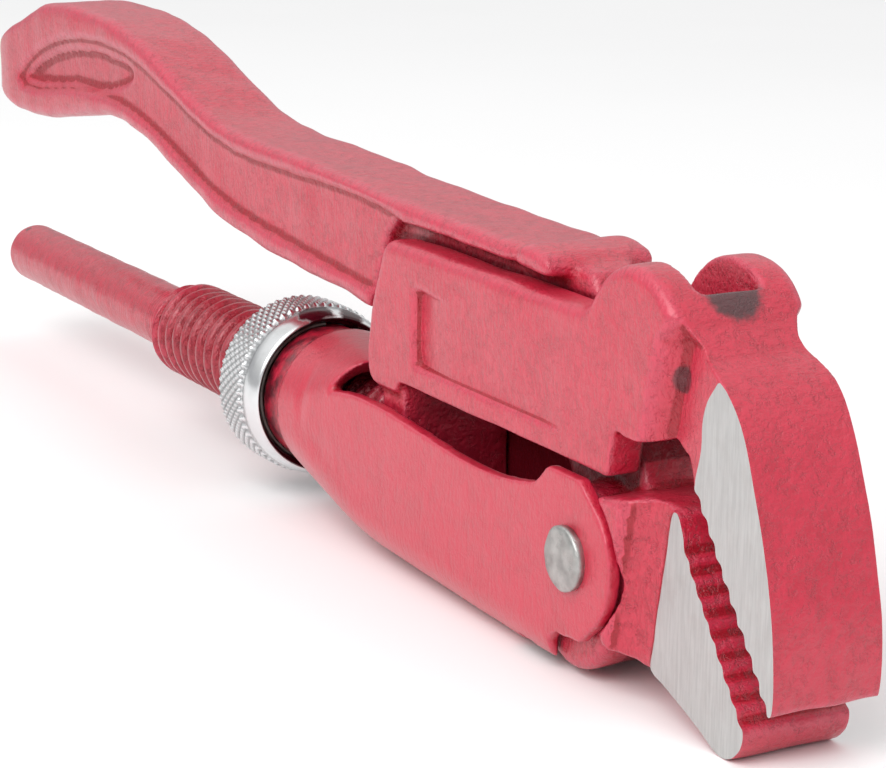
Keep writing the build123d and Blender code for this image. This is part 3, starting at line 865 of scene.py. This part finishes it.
class WRENCH_OT_knurled_nut(bpy.types.Operator):
    """Knurled adjusting nut"""
    bl_idname = "wrench.knurled_nut"
    bl_label = "Adjusting nut"

    def execute(self, context):
        low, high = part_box("adjusting_nut")
        length, outside = (high.x - low.x) / MM, high.z / MM
        rear = [(0.0, THREAD_BORE + 0.6), (0.0, outside - 1.3), (0.12, outside - 0.9)]
        knurled = [(0.35 + k * 0.225, outside) for k in range(int((KNURL_LENGTH - 0.5) / 0.225))]
        front = [(KNURL_LENGTH + 0.15, outside - 0.5), (KNURL_LENGTH + 0.9, outside - 0.55),
                 (KNURL_LENGTH + 1.2, outside - 0.40), (length - 1.6, outside - 0.75),
                 (length - 0.5, outside - 1.15), (length - 0.1, outside - 1.35),
                 (length, outside - 1.6), (length - 0.15, outside - 1.8),
                 (length - 2.4, COLLAR_BORE + 0.05),
                 (BORE_STEP, COLLAR_BORE + 0.05), (BORE_STEP, THREAD_BORE), (0.6, THREAD_BORE)]
        profile = rear + knurled + front
        around = 480
        turn = (np.arange(around) / around)[None, :]
        u = np.array([p[0] for p in profile])[:, None]
        base = np.array([p[1] for p in profile])[:, None]
        cut = np.zeros((len(profile), 1))
        first, last = len(rear), len(rear) + len(knurled)
        cut[first:last] = 1.0
        edge_drop = np.zeros((len(profile), 1))
        edge_drop[first] = edge_drop[last - 1] = 0.35
        edge_drop[first + 1] = edge_drop[last - 2] = 0.12
        groove = (1 - knurl(u, turn)) * cut
        radius = (base - edge_drop - groove * sizes().knurl_depth / MM) * MM
        along = np.broadcast_to(low.x + u * MM, radius.shape)
        mesh = turned("knurled_nut", along, radius, closed=True)
        store(mesh, "groove", groove.ravel())
        inner = np.zeros((len(profile), 1))
        inner[-5:-1] = 1.0
        store(mesh, "painted", (inner * np.ones_like(turn)).ravel())
        top = high.z
        drops = (((high.x - 2.0 * MM, -2.0 * MM, top - 1.2 * MM), 3.4 * MM),
                 ((high.x - 1.0 * MM, 4.5 * MM, top - 2.4 * MM), 2.6 * MM))
        zinc = zinc_plate(drops)
        piece = finished("knurled_nut", mesh, [zinc], "nut", ["adjusting_nut"])
        sharp = piece.modifiers.new("Crisp corners", "EDGE_SPLIT")
        sharp.split_angle = math.radians(50)
        return {"FINISHED"}


# ---------------------------------------------------------------- rivets, spring and ring
HEAD_HEIGHT = 1.4            # millimetres, of each head of the pivot rivet
HEAD_RIM = 1.1               # from the shank out to the head's rim


class WRENCH_OT_pivot_rivet(bpy.types.Operator):
    """Pivot rivet with its two domed heads"""
    bl_idname = "wrench.pivot_rivet"
    bl_label = "Pivot rivet"

    def execute(self, context):
        low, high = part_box("pivot_rivet")
        centre = (low + high) / 2
        tall, head = high.y, (high.z - low.z) / 2
        seat = tall - HEAD_HEIGHT * MM
        shank = head - HEAD_RIM * MM
        dome = [(tall, 0.0), (tall - 0.01 * MM, 0.40 * head), (tall - 0.04 * MM, 0.70 * head),
                (tall - 0.10 * MM, 0.86 * head), (tall - 0.22 * MM, 0.95 * head),
                (tall - 0.42 * MM, head), (tall - 1.0 * MM, head), (seat, 0.985 * head),
                (seat, shank)]
        profile = [(-y, r) for y, r in dome] + [(y, r) for y, r in reversed(dome)]
        along = np.array([p[0] for p in profile])[1:-1, None]
        radius = np.array([p[1] for p in profile])[1:-1, None] * np.ones((1, 72))
        mesh = turned("pivot_rivet_head", np.broadcast_to(along, radius.shape), radius)
        turn = Matrix.Translation(centre) @ Matrix.Rotation(math.pi / 2, 4, "Z")
        mesh.transform(turn)
        points = read_points(mesh)
        normals = read_normals(mesh)
        points += normals * swells(points, 21, 0.04 * MM, 3.5 * MM)[:, None]
        write_points(mesh, points)
        steel = plain_metal("Rivet steel", finish().rivet, 0.34)
        piece = finished("domed_rivet", mesh, [steel], "sleeve_body", ["pivot_rivet"])
        sharp = piece.modifiers.new("Crisp corners", "EDGE_SPLIT")
        sharp.split_angle = math.radians(60)
        return {"FINISHED"}


class WRENCH_OT_inner_pieces(bpy.types.Operator):
    """Leaf spring, its rivet and the nut's retaining ring keep their frame shapes"""
    bl_idname = "wrench.inner_pieces"
    bl_label = "Spring, spring rivet and ring"

    def execute(self, context):
        oiled = plain_metal("Oiled spring steel", finish().spring, 0.30)
        steel = plain_metal("Small rivet steel", finish().rivet, 0.38)
        for node, material in (("leaf_spring", oiled), ("retaining_ring", oiled),
                               ("spring_rivet", steel)):
            mesh = frame["nodes"][node].data
            mesh.materials.clear()
            mesh.materials.append(material)
        return {"FINISHED"}


# ---------------------------------------------------------------- stage
CAMERA_FROM_PIVOT = (0.2945, -0.1899, 0.1063)
CAMERA_TURN = (62.0, 13.6, -0.4)     # azimuth, elevation and roll, degrees
LENS = 106.86
FLOOR_REACH = 6.0


def turned_towards(azimuth, elevation, roll):
    """Rotation of a camera that looks from azimuth and elevation, in degrees."""
    a, e, r = (math.radians(x) for x in (azimuth, elevation, roll))
    right = Vector((math.cos(a), math.sin(a), 0))
    back = Vector((math.sin(a) * math.cos(e), -math.cos(a) * math.cos(e), math.sin(e)))
    up = back.cross(right)
    across = math.cos(r) * right - math.sin(r) * up
    upright = math.sin(r) * right + math.cos(r) * up
    return Matrix((across, upright, back)).transposed().to_4x4()


def panel_light(name, direction, distance, width, power):
    """Soft square light that shines on the middle of the wrench."""
    light = bpy.data.lights.new(name, "AREA")
    light.shape = "SQUARE"
    light.size = width
    light.energy = power
    lamp = bpy.data.objects.new(name, light)
    bpy.context.scene.collection.objects.link(lamp)
    aim = Vector((PIVOT.x, 0, 0))
    way = Vector(direction).normalized()
    lamp.location = aim + way * distance
    lamp.rotation_mode = "QUATERNION"
    lamp.rotation_quaternion = way.to_track_quat("Z", "Y")


class WRENCH_OT_studio(bpy.types.Operator):
    """Pale floor, soft light and the camera"""
    bl_idname = "wrench.studio"
    bl_label = "Studio"

    def execute(self, context):
        scene = context.scene
        floor = bpy.data.meshes.new("floor")
        reach, low = FLOOR_REACH, cad_box[0][2]
        floor.from_pydata([(x, y, low) for x, y in ((-reach, -reach), (reach, -reach),
                                                    (reach, reach), (-reach, reach))],
                          [], [(0, 1, 2, 3)])
        material, tree, shader, vector = started("Pale floor")
        soft = eased(tree, noise(tree, vector, 3.0), 0.2, 0.8)
        tree.links.new(colour_mix(tree, soft, (0.95, 0.95, 0.95, 1), (0.98, 0.98, 0.98, 1)),
                       shader.inputs["Base Color"])
        shader.inputs["Roughness"].default_value = 0.9
        floor.materials.append(material)
        linked("floor", floor)
        world = bpy.data.worlds.new("Studio")
        scene.world = world
        world.use_nodes = True
        tree = world.node_tree
        sky = put(tree, "ShaderNodeTexCoord").outputs["Generated"]
        height = put(tree, "ShaderNodeSeparateXYZ", {0: sky}).outputs["Z"]
        share = eased(tree, height, 0.05, 0.60)
        colour = colour_mix(tree, share, (0.43, 0.43, 0.44, 1.0), (1.0, 1.0, 1.0, 1.0))
        background = tree.nodes["Background"]
        tree.links.new(colour, background.inputs["Color"])
        background.inputs["Strength"].default_value = 0.95
        panel_light("Key panel", (0.26, -0.65, 0.71), 0.9, 0.7, 5.2)
        lens = bpy.data.cameras.new("Camera")
        lens.sensor_width = 36.0
        lens.lens = LENS
        lens.shift_x = 0.01354
        lens.shift_y = 0.00903
        lens.clip_start = 0.01
        camera = bpy.data.objects.new("Camera", lens)
        scene.collection.objects.link(camera)
        camera.matrix_world = (Matrix.Translation(PIVOT + Vector(CAMERA_FROM_PIVOT))
                               @ turned_towards(*CAMERA_TURN))
        scene.camera = camera
        scene.view_settings.view_transform = "Standard"
        return {"FINISHED"}


class WRENCH_PT_panel(bpy.types.Panel):
    """Lists the wrench's pieces in the order that they are made"""
    bl_label = "Pipe wrench"
    bl_idname = "WRENCH_PT_panel"
    bl_space_type = "VIEW_3D"
    bl_region_type = "UI"
    bl_category = "Wrench"

    def draw(self, context):
        for settings in (context.scene.wrench_sizes, context.scene.wrench_finish):
            for name in settings.__annotations__:
                self.layout.prop(settings, name)
        for operator in OPERATORS:
            self.layout.operator(operator.bl_idname)


OPERATORS = (WRENCH_OT_hook_forging, WRENCH_OT_threaded_rod, WRENCH_OT_long_lever,
             WRENCH_OT_sleeve_shell, WRENCH_OT_knurled_nut, WRENCH_OT_pivot_rivet,
             WRENCH_OT_inner_pieces, WRENCH_OT_studio)
CLASSES = (WRENCH_PG_sizes, WRENCH_PG_finish, *OPERATORS, WRENCH_PT_panel)


def register():
    for kind in CLASSES:
        bpy.utils.register_class(kind)
    bpy.types.Scene.wrench_sizes = bpy.props.PointerProperty(type=WRENCH_PG_sizes)
    bpy.types.Scene.wrench_finish = bpy.props.PointerProperty(type=WRENCH_PG_finish)


def unregister():
    del bpy.types.Scene.wrench_finish
    del bpy.types.Scene.wrench_sizes
    for kind in reversed(CLASSES):
        bpy.utils.unregister_class(kind)


def main():
    register()
    for operator in OPERATORS:
        group, name = operator.bl_idname.split(".")
        getattr(getattr(bpy.ops, group), name)()


if __name__ == "__main__":
    main()
